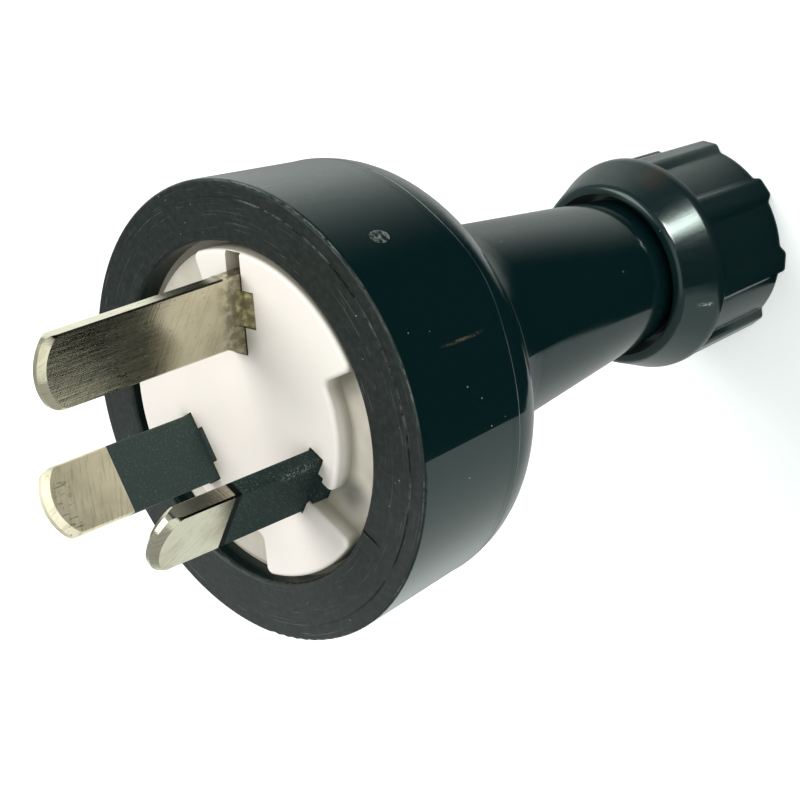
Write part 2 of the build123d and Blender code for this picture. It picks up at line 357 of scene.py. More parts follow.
@dataclass(frozen=True)
class CoverFinish:
    """Glossy black moulding with a dull, scratched and dusty front face, painted highlights on its edges
    and a few marks of use.
    """

    gloss: Colour = (0.0019, 0.0098, 0.0106)
    face: Colour = (0.0030, 0.0048, 0.0050)
    chalk: Colour = (0.0140, 0.0152, 0.0165)
    chalk_lower: Colour = (0.0370, 0.0398, 0.0398)
    ground_lower: Colour = (0.0270, 0.0290, 0.0295)
    black: Colour = (0.0006, 0.0008, 0.0008)
    tint: Colour = (0.76, 1.0, 0.89)
    pale: Colour = (0.42, 0.45, 0.44)
    scuff: Colour = (0.088, 0.068, 0.046)
    ior: float = 1.36
    sheen: Span = (0.06, 0.18)  # roughness of the gloss
    ring_dull: Span = (0.22, 0.40)  # roughness of the face, by its rings
    mottle_dull: Span = (0.06, 0.30)  # what the face's mottle adds to it
    face_height: float = 63.75 * MM
    edge_radius: float = 20.74 * MM
    # strengths and half width of the pale lines painted on the face's edges as highlights
    edge_highlight: float = 0.24
    step_radius: float = 19.33 * MM
    step_highlight: float = 0.36
    highlight_half: float = 0.07 * MM
    skirt_radius: float = 20.2 * MM
    scuff_angle: float = math.radians(23.3)
    scuff_ends: Span = (52.6 * MM, 59.4 * MM)
    scuff_taper: float = 3.2 * MM
    scuff_drift: float = 0.35 * MM
    scuff_half: Span = (0.19 * MM, 0.02 * MM)  # where it is gone and where it is full
    crack_angle: float = math.radians(-29.9)
    crack_ends: Span = (14.6 * MM, 17.5 * MM)
    crack_half: float = 0.15 * MM
    crack_depth: float = 4.0  # in units of the relief
    relief: float = 0.05 * MM

    def material(self) -> Material:
        """Makes the material.

        Returns:
            The finished material.
        """
        g = Graph("cover_plastic")
        radius, height, angle = g.round_place()
        face = g.step(height, self.face_height - 0.1 * MM, self.face_height + 0.05 * MM)
        rings = g.noise(1.0, 5.0, g.join(g.product(angle, 2.2), g.product(radius, 5200.0), 0.0))
        lines = g.step(rings, 0.60, 0.72)
        crack = self.crack(g, radius, angle)
        chalked = g.blend(crack, self.chalked(g, lines, radius, angle), self.black)
        colour = g.blend(face, self.gloss, chalked)
        colour = g.blend(g.product(g.specks(560.0, 0.05, 0.3), 0.6), colour, self.pale)
        # pale lines painted on the face's edges as highlights
        colour = g.blend(self.painted_edge_highlights(g, radius, height), colour, self.pale)
        colour = g.blend(self.scuff_mask(g, height, angle), colour, self.scuff)
        sheen = g.span(g.noise(70.0, 5.0), *self.sheen)
        mottle = g.span(g.noise(420.0, 5.0), *self.mottle_dull)
        rough = g.mix(face, sheen, g.sum(Op.ADD, g.span(rings, *self.ring_dull), mottle))
        g.set(Base_Color=colour, Roughness=rough, IOR=self.ior, Specular_Tint=self.tint, Metallic=crack)
        wave = g.product(g.noise(95.0, 1.0), 0.8)
        grain = g.sum(Op.ADD, g.product(lines, 0.15), g.product(g.noise(2400.0, 3.0), 0.6))
        grain = g.sum(Op.TAKE, g.product(grain, face), g.product(crack, self.crack_depth))
        g.bump(g.sum(Op.ADD, wave, grain), self.relief, 0.35)
        return g.material

    def chalked(self, g: Graph, lines: Socket, radius: Socket, angle: Socket) -> Socket:
        """Colour of the dull face: mottled, lighter away from its +Y edge, with round scratches and pale
        specks.

        Args:
            g: The material's graph.
            lines: Mask of the long round scratches.
            radius: Radius socket in metres.
            angle: Angle socket in radians.

        Returns:
            The colour's socket.
        """
        mottle = g.step(g.noise(1700.0, 5.0), 0.30, 0.80)
        # lighter away from the face's +Y edge
        fall = g.reach((0.0, self.edge_radius, 0.0), (0.0, 1.0, 0.0))
        lower = g.step(fall, 0.3 * self.edge_radius, 2.0 * self.edge_radius)
        ground = g.blend(lower, self.face, self.ground_lower)
        colour = g.blend(mottle, ground, g.blend(lower, self.chalk, self.chalk_lower))
        arcs = g.noise(1.0, 3.0, g.join(g.product(angle, 7.0), g.product(radius, 11000.0), 4.0))
        colour = g.blend(g.product(lines, 0.09), colour, self.pale)
        colour = g.blend(g.product(g.step(arcs, 0.66, 0.74), 0.22), colour, self.pale)
        return g.blend(g.product(g.specks(1150.0, 0.08, 0.25), 0.45), colour, self.pale)

    def crack(self, g: Graph, radius: Socket, angle: Socket) -> Socket:
        """Short crack across the lip.

        Args:
            g: The material's graph.
            radius: Radius socket in metres.
            angle: Angle socket in radians.

        Returns:
            A mask that is 1 in the crack.
        """
        across = g.product(g.sum(Op.TAKE, angle, self.crack_angle), radius)
        return g.product(g.band(across, 0.0, self.crack_half), g.within(radius, self.crack_ends, 0.6))

    def painted_edge_highlights(self, g: Graph, radius: Socket, height: Socket) -> Socket:
        """Painted highlights: fine, broken pale lines on the face's outer edge and on the step inside it.

        Args:
            g: The material's graph.
            radius: Radius socket in metres.
            height: Height socket in metres.

        Returns:
            A mask that is 1 where an edge highlight is painted.
        """
        patches = g.step(g.noise(150.0, 5.0), 0.40, 0.62)
        broken = g.product(patches, g.step(g.noise(1900.0, 2.0), 0.32, 0.55))
        top = g.step(height, self.face_height - 0.35 * MM, self.face_height - 0.05 * MM)
        outer = g.product(g.band(radius, self.edge_radius, self.highlight_half), self.edge_highlight)
        inner = g.product(g.band(radius, self.step_radius, self.highlight_half), self.step_highlight)
        return g.product(g.sum(Op.ADD, outer, inner), broken, top)

    def scuff_mask(self, g: Graph, height: Socket, angle: Socket) -> Socket:
        """Thin streak of flecks along the skirt, with tapered ends.

        Args:
            g: The material's graph.
            height: Height socket in metres.
            angle: Angle socket in radians.

        Returns:
            A mask that is 1 in the streak.
        """
        low, high = self.scuff_ends
        across = g.product(g.sum(Op.TAKE, angle, self.scuff_angle), self.skirt_radius)
        drift = g.product(g.sum(Op.TAKE, g.noise(700.0, 2.0), 0.5), self.scuff_drift)
        line = g.step(g.sum(Op.SIZE, g.sum(Op.ADD, across, drift)), *self.scuff_half)
        start = g.step(height, low, low + self.scuff_taper)
        ends = g.product(start, g.step(height, high, high - self.scuff_taper))
        return g.product(line, ends, g.step(g.noise(5200.0, 3.0), 0.36, 0.66))


@dataclass(frozen=True)
class NutFinish:
    """Harder black plastic with fine handling marks, pale specks, a brown stain and a row of nicks."""

    colour: Colour = (0.0028, 0.0118, 0.0128)
    stain: Colour = (0.034, 0.019, 0.011)
    pale: Colour = (0.45, 0.49, 0.48)
    tint: Colour = (0.80, 1.0, 0.91)
    ior: float = 1.44
    roughness: Span = (0.10, 0.30)
    stain_place: Point = (3.6 * MM, 9.7 * MM, 12.4 * MM)
    stain_reach: Span = (2.3 * MM, 0.4 * MM)  # where it is gone and where it is full
    nick_angle: float = math.radians(-12.3)
    nick_height: float = 12.9 * MM
    nick_half: Span = (0.26 * MM, 1.1 * MM)  # across the row and along it
    collar_radius: float = 10.1 * MM
    relief: float = 0.012 * MM

    def material(self) -> Material:
        """Makes the material.

        Returns:
            The finished material.
        """
        g = Graph("nut_plastic")
        radius, height, angle = g.round_place()
        stain = g.product(g.step(g.reach(self.stain_place), *self.stain_reach), g.noise(900.0, 4.0))
        colour = g.blend(stain, self.colour, self.stain)
        width, length = self.nick_half
        across = g.product(g.sum(Op.TAKE, angle, self.nick_angle), self.collar_radius)
        nicks = g.product(g.band(across, 0.0, width), g.band(height, self.nick_height, length))
        nicks = g.product(nicks, g.step(g.noise(6500.0, 1.0), 0.50, 0.60))
        colour = g.blend(nicks, colour, self.pale)
        colour = g.blend(g.product(g.specks(620.0, 0.05, 0.3), 0.6), colour, self.pale)
        hair = g.noise(1.0, 4.0, g.join(g.product(angle, 70.0), g.product(height, 260.0), radius))
        rough = g.span(hair, *self.roughness)
        g.set(Base_Color=colour, Roughness=rough, IOR=self.ior, Specular_Tint=self.tint)
        g.bump(hair, self.relief, 0.35)
        return g.material


@dataclass(frozen=True)
class BaseFinish:
    """Warm white thermoset with painted shade, with some soil, in its recesses, darker pocket floors,
    painted shadows by the pins and a few dark specks.
    """

    colour: Colour = (0.850, 0.790, 0.742)
    cooler: Colour = (0.826, 0.787, 0.734)
    # colour of the painted shade in recesses, with a soil tint
    recess_shade: Colour = (0.40, 0.37, 0.285)
    dust: Colour = (0.46, 0.435, 0.35)
    # colour of the painted shadows below
    grime: Colour = (0.12, 0.117, 0.095)
    speck: Colour = (0.2, 0.17, 0.14)
    ior: float = 1.52
    roughness: Span = (0.38, 0.55)
    recess: float = 3.4 * MM
    pocket_height: float = 62.3 * MM
    pocket_half: float = 1.1 * MM
    # painted shadows: the neutral sleeve's on the pocket floor, the one in the pocket's upper end, and the
    # earth pin's
    painted_shadow_places: tuple[tuple[Point, float], ...] = (  # and how dense it is
        ((10.7 * MM, -5.5 * MM, 62.3 * MM), 0.95),
        ((11.5 * MM, 4.6 * MM, 62.3 * MM), 0.60),
        ((0.9 * MM, 6.8 * MM, 64.1 * MM), 0.35),
    )
    painted_shadow_reach: Span = (2.3 * MM, 0.3 * MM)  # where it is gone and where it is full
    relief: float = 0.02 * MM

    def material(self) -> Material:
        """Makes the material.

        Returns:
            The finished material.
        """
        g = Graph("base_plastic")
        _, height, _ = g.round_place()
        tone = g.blend(g.step(g.noise(160.0, 3.0), 0.35, 0.7), self.colour, self.cooler)
        # painted shade, with some soil, where the occlusion finds recesses
        hollow = g.add("ShaderNodeAmbientOcclusion", {"Distance": self.recess}, samples=8)
        recess_shade = g.step(hollow.outputs["AO"], 0.95, 0.30)
        recess_shade = g.product(recess_shade, g.span(g.noise(300.0, 3.0), 0.55, 1.05))
        # darker tan at the pocket floors' height
        pocket = g.band(height, self.pocket_height, self.pocket_half)
        pocket = g.product(pocket, g.span(g.noise(450.0, 3.0), 0.35, 1.0))
        colour = g.blend(recess_shade, g.blend(pocket, tone, self.dust), self.recess_shade)
        # painted shadows, in the grime colour
        for place, density in self.painted_shadow_places:
            near = g.step(g.reach(place), *self.painted_shadow_reach)
            patches = g.span(g.noise(700.0, 3.0), 0.6, 1.0)
            colour = g.blend(g.product(near, patches, density), colour, self.grime)
        colour = g.blend(g.product(g.specks(520.0, 0.035, 0.25), 0.5), colour, self.speck)
        rough = g.span(g.noise(1800.0, 2.0), *self.roughness)
        g.set(Base_Color=colour, Roughness=rough, IOR=self.ior)
        g.bump(g.noise(420.0, 3.0), self.relief, 0.2)
        return g.material


@dataclass(frozen=True)
class BladeFinish:
    """Nickel plate, drawn and sanded, with warm tarnish, a grimy root, tiny pits and a rough band."""

    name: str
    rough_band: Span
    band_depth: float
    bright: Colour = (0.53, 0.495, 0.370)
    tarnish: Colour = (0.38, 0.345, 0.235)
    satin: float = 0.0  # added to the roughness
    dark: Colour = (0.10, 0.088, 0.06)
    grime: Colour = (0.20, 0.175, 0.115)
    root_ends: Span = (65.4 * MM, 67.6 * MM)
    root_dull: float = 0.22
    roughness: Span = (0.06, 0.20)
    drawn: Point = (7000.0, 7000.0, 260.0)  # waves per metre along each axis
    sanded: Point = (420.0, 420.0, 6500.0)
    scratched: Point = (4600.0, 4600.0, 700.0)
    lean: Point = (math.radians(35), math.radians(-25), 0.0)  # of the sanding
    relief: float = 0.014 * MM

    def material(self) -> Material:
        """Makes the material.

        Returns:
            The finished material.
        """
        g = Graph(self.name)
        _, height, _ = g.round_place()
        drawn = g.noise(1.0, 4.0, g.stretch(g.place, self.drawn))
        sanded = g.noise(1.0, 3.0, g.stretch(self.leaned(g), self.sanded))
        cloud = g.noise(330.0, 5.0)
        pits = g.specks(1500.0, 0.10, 0.25)
        ticks = self.ticks(g, height)
        worn = g.product(g.step(cloud, 0.42, 0.74), g.span(drawn, 0.35, 1.0))
        worn = g.sum(Op.ADD, g.product(worn, 0.7), g.product(g.step(sanded, 0.50, 0.66), 0.45))
        low, high = self.root_ends
        root = g.product(g.step(height, high, low), g.step(g.noise(1400.0, 4.0), 0.36, 0.62))
        colour = g.blend(worn, self.bright, self.tarnish)
        colour = g.blend(g.product(root, 0.75), colour, self.grime)
        colour = g.blend(g.product(pits, 0.6), colour, self.dark)
        colour = g.blend(ticks, colour, self.dark)
        smooth, dull = (end + self.satin for end in self.roughness)
        rough = g.sum(Op.ADD, g.span(drawn, smooth, dull), g.span(cloud, 0.0, 0.10))
        rough = g.sum(Op.ADD, rough, g.product(root, self.root_dull))
        g.set(Base_Color=colour, Metallic=1.0, Roughness=rough)
        relief = g.sum(Op.ADD, g.product(drawn, 0.6), g.product(sanded, 0.5))
        g.bump(g.sum(Op.TAKE, relief, g.sum(Op.ADD, pits, ticks)), self.relief, 0.55)
        return g.material

    def leaned(self, g: Graph) -> Socket:
        """Object coordinates leaned over, so that the sanding runs askew.

        Args:
            g: The material's graph.

        Returns:
            The leaned vector's socket.
        """
        return g.add("ShaderNodeMapping", {"Vector": g.place, "Rotation": self.lean}).outputs[0]

    def ticks(self, g: Graph, height: Socket) -> Socket:
        """Short dark scratches along the blade, in one band of it.

        Args:
            g: The material's graph.
            height: Height socket in metres.

        Returns:
            A mask that is 1 in the scratches.
        """
        lines = g.step(g.noise(1.0, 1.0, g.stretch(g.place, self.scratched)), 0.60, 0.68)
        broken = g.step(g.noise(5200.0, 2.0), 0.30, 0.50)
        return g.product(lines, broken, g.within(height, self.rough_band, 0.65), self.band_depth)


@dataclass(frozen=True)
class SleeveFinish:
    """Dull black insulation, grained and dusty, and on one pin with a rubbed edge, painted with glints, and
    a dark end.
    """

    name: str
    rubbed: bool
    colour: Colour
    dust: Colour = (0.110, 0.140, 0.132)
    tint: Colour = (0.76, 1.0, 0.92)
    shine: Colour = (0.30, 0.33, 0.31)
    end: Colour = (0.0008, 0.0016, 0.0015)
    ior: float = 1.22
    roughness: Span = (0.50, 0.74)
    end_rise: Span = (73.15 * MM, 73.35 * MM)
    rub_place: Point = (8.95 * MM, -2.5 * MM, 0.0)
    rub_reach: Span = (0.75 * MM, 0.15 * MM)  # where it is gone and where it is full
    rub_ends: Span = (64.4 * MM, 69.6 * MM)
    rub_polish: float = 0.28
    relief: float = 0.035 * MM

    def material(self) -> Material:
        """Makes the material.

        Returns:
            The finished material.
        """
        g = Graph(self.name)
        _, height, _ = g.round_place()
        fine = g.noise(5200.0, 2.0)
        dust = g.product(g.step(fine, 0.50, 0.72), g.span(g.noise(500.0, 3.0), 0.3, 1.1))
        colour = g.blend(g.product(dust, 0.55), self.colour, self.dust)
        colour = g.blend(g.product(g.specks(900.0, 0.06, 0.15), 0.5), colour, self.shine)
        rough = g.span(fine, *self.roughness)
        if self.rubbed:
            near = g.step(g.reach(self.rub_place, (1.0, 1.0, 0.0)), *self.rub_reach)
            # rubbed patch: real wear, smoother, with its glints painted as pale flecks
            flecks = g.step(g.noise(6400.0, 3.0), 0.52, 0.60)
            rub = g.product(near, g.within(height, self.rub_ends), flecks)
            colour = g.blend(g.product(rub, 0.5), colour, self.shine)
            colour = g.blend(g.step(height, *self.end_rise), colour, self.end)
            rough = g.sum(Op.TAKE, rough, g.product(rub, self.rub_polish))
        g.set(Base_Color=colour, Roughness=rough, IOR=self.ior, Specular_Tint=self.tint)
        g.bump(fine, self.relief, 0.7)
        return g.material


@dataclass(frozen=True)
class MetalFinish:
    """Turned or pressed metal of the clamps and screws."""

    name: str
    colour: Colour
    tarnish: Colour
    roughness: Span
    streaks: Point = (900.0, 900.0, 6000.0)  # waves per metre along each axis
    relief: float = 0.01 * MM

    def material(self) -> Material:
        """Makes the material.

        Returns:
            The finished material.
        """
        g = Graph(self.name)
        cloud = g.step(g.noise(420.0, 5.0), 0.4, 0.75)
        streak = g.noise(1.0, 3.0, g.stretch(g.place, self.streaks))
        g.set(Base_Color=g.blend(cloud, self.colour, self.tarnish), Metallic=1.0)
        g.set(Roughness=g.span(streak, *self.roughness))
        g.bump(streak, self.relief, 0.3)
        return g.material


@dataclass(frozen=True)
class SoftFinish:
    """Rubber or nylon of the cord grip, with a fine mottle."""

    name: str
    colour: Colour
    mottle: Colour
    roughness: Span
    ior: float = 1.5
    relief: float = 0.02 * MM

    def material(self) -> Material:
        """Makes the material.

        Returns:
            The finished material.
        """
        g = Graph(self.name)
        cloud = g.noise(900.0, 4.0)
        g.set(Base_Color=g.blend(g.step(cloud, 0.4, 0.7), self.colour, self.mottle))
        g.set(Roughness=g.span(cloud, *self.roughness), IOR=self.ior)
        g.bump(g.noise(2600.0, 2.0), self.relief, 0.3)
        return g.material


@dataclass(frozen=True)
class FlashHighlightFinish:
    """Thin edge of plastic that the mould's joint leaves, with broken pale patches painted on it as the
    highlight its ridge catches.
    """

    pale: Colour = (0.205, 0.245, 0.230)
    dark: Colour = (0.012, 0.019, 0.018)
    ior: float = 1.5
    roughness: Span = (0.25, 0.45)

    def material(self) -> Material:
        """Makes the material.

        Returns:
            The finished material.
        """
        g = Graph("flash_plastic")
        # the pale patches are a painted highlight on the real ridge
        patches = g.step(g.noise(75.0, 2.0), 0.32, 0.70)
        broken = g.product(patches, g.step(g.noise(900.0, 3.0), 0.25, 0.50))
        g.set(Base_Color=g.blend(broken, self.dark, self.pale), IOR=self.ior)
        g.set(Roughness=g.span(broken, *self.roughness))
        return g.material


@dataclass(frozen=True)
class ScarFinish:
    """Torn plastic of the gate's scar, paler than the skin round it but for its hole."""

    dark: Colour = (0.0020, 0.0052, 0.0052)
    pale: Colour = (0.115, 0.140, 0.130)
    ior: float = 1.47
    roughness: Span = (0.55, 0.25)
    hole_place: Point = (12.34 * MM, 16.20 * MM, 58.18 * MM)
    hole_edge: Span = (0.18 * MM, 0.32 * MM)
    relief: float = 0.06 * MM

    def material(self) -> Material:
        """Makes the material.

        Returns:
            The finished material.
        """
        g = Graph("scar_plastic")
        torn = g.noise(2300.0, 4.0)
        rim = g.product(g.step(torn, 0.40, 0.66), g.step(g.reach(self.hole_place), *self.hole_edge))
        g.set(Base_Color=g.blend(rim, self.dark, self.pale), IOR=self.ior)
        g.set(Roughness=g.span(torn, *self.roughness))
        g.bump(g.noise(4200.0, 3.0), self.relief, 0.6)
        return g.material


class Shop:
    """Modelling steps that more than one piece uses."""

    @staticmethod
    def clear() -> None:
        """Leaves nothing selected and no object in edit mode."""
        if bpy.context.object and bpy.context.object.mode != "OBJECT":
            Shop.done()
        bpy.ops.object.select_all(action="DESELECT")

    @staticmethod
    def named(name: str) -> Object:
        """Names the primitive that was just added, and puts its place into its mesh.

        Args:
            name: Name for the object and its mesh.

        Returns:
            The object.
        """
        piece = bpy.context.object
        piece.name = name
        piece.data.name = name
        Shop.settle()
        return piece

    @staticmethod
    def edit(mode: str) -> None:
        """Enters edit mode with everything selected.

        Args:
            mode: VERT, EDGE or FACE.
        """
        bpy.ops.object.mode_set(mode="EDIT")
        bpy.ops.mesh.select_mode(type=mode)
        bpy.ops.mesh.select_all(action="SELECT")

    @staticmethod
    def pick(piece: Object, test: Callable[[bpy.types.MeshPolygon], bool]) -> None:
        """Enters edit mode with only some faces selected.

        Args:
            piece: The object, which is active.
            test: Says whether a face is to be selected.
        """
        Shop.edit("FACE")
        bpy.ops.mesh.select_all(action="DESELECT")
        Shop.done()
        for face in piece.data.polygons:
            face.select = test(face)
        bpy.ops.object.mode_set(mode="EDIT")

    @staticmethod
    def done() -> None:
        """Leaves edit mode."""
        bpy.ops.object.mode_set(mode="OBJECT")

    @staticmethod
    def apply(piece: Object, kind: str, **settings: object) -> None:
        """Adds a modifier and applies it.

        Args:
            piece: The object, which is active.
            kind: Type of the modifier.
            settings: Its properties.
        """
        modifier = piece.modifiers.new(kind.lower(), kind)
        for key, value in settings.items():
            setattr(modifier, key, value)
        bpy.ops.object.modifier_apply(modifier=modifier.name)

    @staticmethod
    def settle() -> None:
        """Puts the selected object's place, turn and size into its mesh."""
        bpy.ops.object.transform_apply(location=True, rotation=True, scale=True)

    @staticmethod
    def tidy() -> None:
        """Merges doubles and points the faces outwards, in edit mode."""
        bpy.ops.mesh.select_all(action="SELECT")
        bpy.ops.mesh.remove_doubles(threshold=DOUBLES)
        bpy.ops.mesh.normals_make_consistent(inside=False)

    @staticmethod
    def dress(piece: Object, material: Material, body: Body, slot: Slot) -> None:
        """Gives a new piece its finish and the body that carries it.

        Args:
            piece: The object.
            material: Its material.
            body: The body it rides on.
            slot: The record's slot that its finish belongs to; not used.
        """
        piece.data.materials.clear()
        piece.data.materials.append(material)
        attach(piece, body.value)
        log.info("%s: %d faces", piece.name, len(piece.data.polygons))


@dataclass
class CoverMarks:
    """Marks that the mould left on the cover: two flash lines and the gate's scar."""

    cover: Object
    seam_radius: float = 19.72 * MM
    seam_height: float = 51.0 * MM
    seam_dip: float = 0.7 * MM
    dip_angle: float = math.radians(37.0)
    dip_width: float = math.radians(14.0)
    crease_radius: float = 17.8 * MM
    crease_height: float = 47.0 * MM
    line_sides: int = 320
    line_width: float = 0.085 * MM
    line_height: float = 0.04 * MM
    line_bevel: float = 0.3  # share of the line's height
    gate_sides: int = 28
    gate_angle: float = math.radians(53.5)
    gate_height: float = 58.5 * MM
    gate_radius: float = 20.38 * MM
    gate_slope: float = 1.1 / 12.1
    gate_size: Span = (1.12 * MM, 0.74 * MM)
    gate_rim: float = 0.10 * MM
    # Insets of the scar's top, as widths in shares of its size and depths in rim heights
    gate_insets: tuple[Span, ...] = ((0.22, 0.75), (0.10, 0.25), (0.08, -0.20), (0.36, 0.0))
    hole_shift: Point = (-0.20, -0.26, 0.0)
    hole_inset: Span = (0.05, -0.90)
    tear: float = 0.05  # random shift of the scar's points

    def build(self, flash: Material, scar: Material) -> None:
        """Models and dresses the marks.

        Args:
            flash: Finish of the flash lines.
            scar: Finish of the gate's scar.
        """
        seam = self.line("parting_line", self.seam_radius, self.seam_height, self.seam_dip)
        crease = self.line("crease_line", self.crease_radius, self.crease_height, 0.0)
        for line in (seam, crease):
            Shop.dress(line, flash, Body.PLUG, Slot.COVER)
        Shop.dress(self.gate(), scar, Body.PLUG, Slot.COVER)

    def line(self, name: str, radius: float, height: float, dip: float) -> Object:
        """Thin raised line round the cover, drawn down on its surface.

        Args:
            name: Name of the piece.
            radius: Radius in metres.
            height: Height of its middle in metres.
            dip: How far it sinks in one place, in metres.

        Returns:
            The finished object.
        """
        Shop.clear()
        bpy.ops.mesh.primitive_cylinder_add(
            vertices=self.line_sides,
            radius=radius,
            depth=self.line_width,
            end_fill_type="NOTHING",
            location=(0, 0, height),
        )
        piece = Shop.named(name)
        for vertex in piece.data.vertices:
            off = (math.atan2(vertex.co.y, vertex.co.x) - self.dip_angle) / self.dip_width
            vertex.co.z -= dip * math.exp(-off * off)
        Shop.apply(piece, "SHRINKWRAP", target=self.cover, wrap_method="NEAREST_SURFACEPOINT")
        Shop.apply(piece, "SOLIDIFY", thickness=self.line_height, offset=0.0, use_even_offset=True)
        Shop.edit("EDGE")
        Shop.tidy()
        Shop.done()
        bevel = self.line_height * self.line_bevel
        Shop.apply(piece, "BEVEL", width=bevel, segments=1, limit_method="ANGLE")
        return piece

    def gate(self) -> Object:
        """Oval scar with a raised rim and one small hole, where the moulding was cut from its runner.

        Returns:
            The finished object.
        """
        Shop.clear()
        bpy.ops.mesh.primitive_cylinder_add(
            vertices=self.gate_sides, radius=1.0, depth=1.0, location=(0, 0, -0.5)
        )
        piece = Shop.named("gate_scar")
        Shop.pick(piece, lambda face: face.normal.z > 0.5)
        for thickness, depth in self.gate_insets:
            bpy.ops.mesh.inset(thickness=thickness, depth=depth)
        bpy.ops.transform.translate(value=self.hole_shift)
        thickness, depth = self.hole_inset
        bpy.ops.mesh.inset(thickness=thickness, depth=depth)
        bpy.ops.mesh.poke()
        bpy.ops.mesh.select_all(action="SELECT")
        bpy.ops.transform.vertex_random(offset=self.tear, uniform=0.6, seed=7)
        Shop.done()
        along, across = self.gate_size
        out = Vector((math.cos(self.gate_angle), math.sin(self.gate_angle), 0.0))
        side = Vector((-out.y, out.x, 0.0))
        up = (Vector((0, 0, 1)) + out * self.gate_slope).normalized()
        axes = Matrix((up * along, side * across, up.cross(side) * self.gate_rim)).transposed()
        middle = out * self.gate_radius + Vector((0, 0, self.gate_height))
        piece.matrix_world = Matrix.Translation(middle) @ axes.to_4x4()
        Shop.settle()
        Shop.apply(piece, "SUBSURF", levels=2, render_levels=2)
        Shop.edit("FACE")
        Shop.tidy()
        Shop.done()
        bpy.ops.object.shade_smooth()
        return piece


@dataclass
class SpigotThread:
    """Screw thread round the cover's spigot, which the gland nut runs on."""

    root_radius: float = 6.55 * MM
    crest_radius: float = 6.90 * MM
    root_half: float = 0.62 * MM
    crest_half: float = 0.22 * MM
    pitch: float = 2.0 * MM
    start: float = 6.7 * MM
    turns: float = 3.0
    steps_per_turn: int = 72
    smooth_angle: float = math.radians(35)

    def build(self, plastic: Material) -> None:
        """Models and dresses the thread.

        Args:
            plastic: Finish of the cover.
        """
        Shop.clear()
        bpy.ops.mesh.primitive_plane_add(size=1.0)
        piece = Shop.named("spigot_thread")
        depth = self.crest_radius - self.root_radius
        middle = Vector(((self.root_radius + self.crest_radius) / 2, 0.0, self.start))
        stand = Matrix.Rotation(math.radians(90), 4, "X")
        size = Matrix.Diagonal((depth, 2 * self.root_half, 1, 1))
        piece.matrix_world = Matrix.Translation(middle) @ stand @ size
        Shop.settle()
        Shop.edit("VERT")
        bpy.ops.mesh.delete(type="ONLY_FACE")
        bpy.ops.mesh.select_all(action="DESELECT")
        Shop.done()
        for vertex in piece.data.vertices:
            vertex.select = vertex.co.x > middle.x
        bpy.ops.object.mode_set(mode="EDIT")
        taper = self.crest_half / self.root_half
        crest = (self.crest_radius, 0.0, self.start)
        bpy.ops.transform.resize(value=(1, 1, taper), center_override=crest)
        Shop.done()
        steps = int(self.steps_per_turn * self.turns)
        Shop.apply(
            piece,
            "SCREW",
            axis="Z",
            angle=2 * math.pi * self.turns,
            screw_offset=self.pitch * self.turns,
            steps=steps,
            render_steps=steps,
        )
        Shop.edit("VERT")
        bpy.ops.mesh.remove_doubles(threshold=DOUBLES)
        bpy.ops.mesh.select_all(action="DESELECT")
        bpy.ops.mesh.select_non_manifold()
        bpy.ops.mesh.fill_holes(sides=8)
        Shop.tidy()
        Shop.done()
        bpy.ops.object.shade_smooth_by_angle(angle=self.smooth_angle)
        Shop.dress(piece, plastic, Body.PLUG, Slot.COVER)


@dataclass
class Wardrobe:
    """Finishes of the nodes that keep their solid shape."""

    nodes: dict[str, Object]
    earth_band: Span = (74.0 * MM, 79.0 * MM)
    live_band: Span = (79.0 * MM, 80.8 * MM)

    def dress(self, cover: Material) -> None:
        """Gives every node its finish.

        Args:
            cover: Material of the cover, which its thread shares.
        """
        looks = {
            "cover_shell": cover,
            "terminal_base": BaseFinish().material(),
            "gland_nut": NutFinish().material(),
            **self.pins(),
            **self.fittings(),
        }
        for name, node in self.nodes.items():
            node.data.materials.clear()
            node.data.materials.append(looks[name])
            log.info("%s: %s", name, looks[name].name)

    def pins(self) -> dict[str, Material]:
        """Makes the finishes of the pins and their sleeves.

        Returns:
            Each node's material by the node's name.
        """
        finishes = {
            "earth_pin": BladeFinish("earth_nickel", self.earth_band, 0.5),
            "active_pin": BladeFinish(
                "active_nickel", self.live_band, 0.60, (0.95, 0.89, 0.69), (0.60, 0.54, 0.38), satin=0.34
            ),
            "neutral_pin": BladeFinish(
                "neutral_nickel", self.live_band, 0.30, (0.45, 0.43, 0.335), (0.31, 0.28, 0.195)
            ),
            # the active sleeve is coloured lighter than the neutral's: painted light on its broad face,
            # same insulation
            "active_sleeve": SleeveFinish("active_insulation", False, (0.043, 0.061, 0.057)),
            "neutral_sleeve": SleeveFinish("neutral_insulation", True, (0.015, 0.027, 0.025)),
        }
        return {name: finish.material() for name, finish in finishes.items()}

    @staticmethod
    def fittings() -> dict[str, Material]:
        """Makes the finishes of the clamps, the screws and the cord grip.

        Returns:
            Each node's material by the node's name.
        """
        brass = MetalFinish("clamp_metal", (0.72, 0.52, 0.24), (0.45, 0.30, 0.13), (0.22, 0.42))
        steel = MetalFinish("screw_metal", (0.62, 0.61, 0.58), (0.40, 0.37, 0.32), (0.18, 0.36))
        rubber = SoftFinish("grommet_soft", (0.012, 0.012, 0.012), (0.022, 0.021, 0.020), (0.6, 0.8))
        nylon = SoftFinish("washer_soft", (0.70, 0.68, 0.60), (0.62, 0.58, 0.48), (0.4, 0.55))
        looks = {"cord_grommet": rubber.material(), "slip_washer": nylon.material()}
        clamp, screw = brass.material(), steel.material()
        for pole in ("earth", "active", "neutral"):
            looks[f"{pole}_clamp"] = clamp
            looks[f"{pole}_screw"] = screw
        return looks


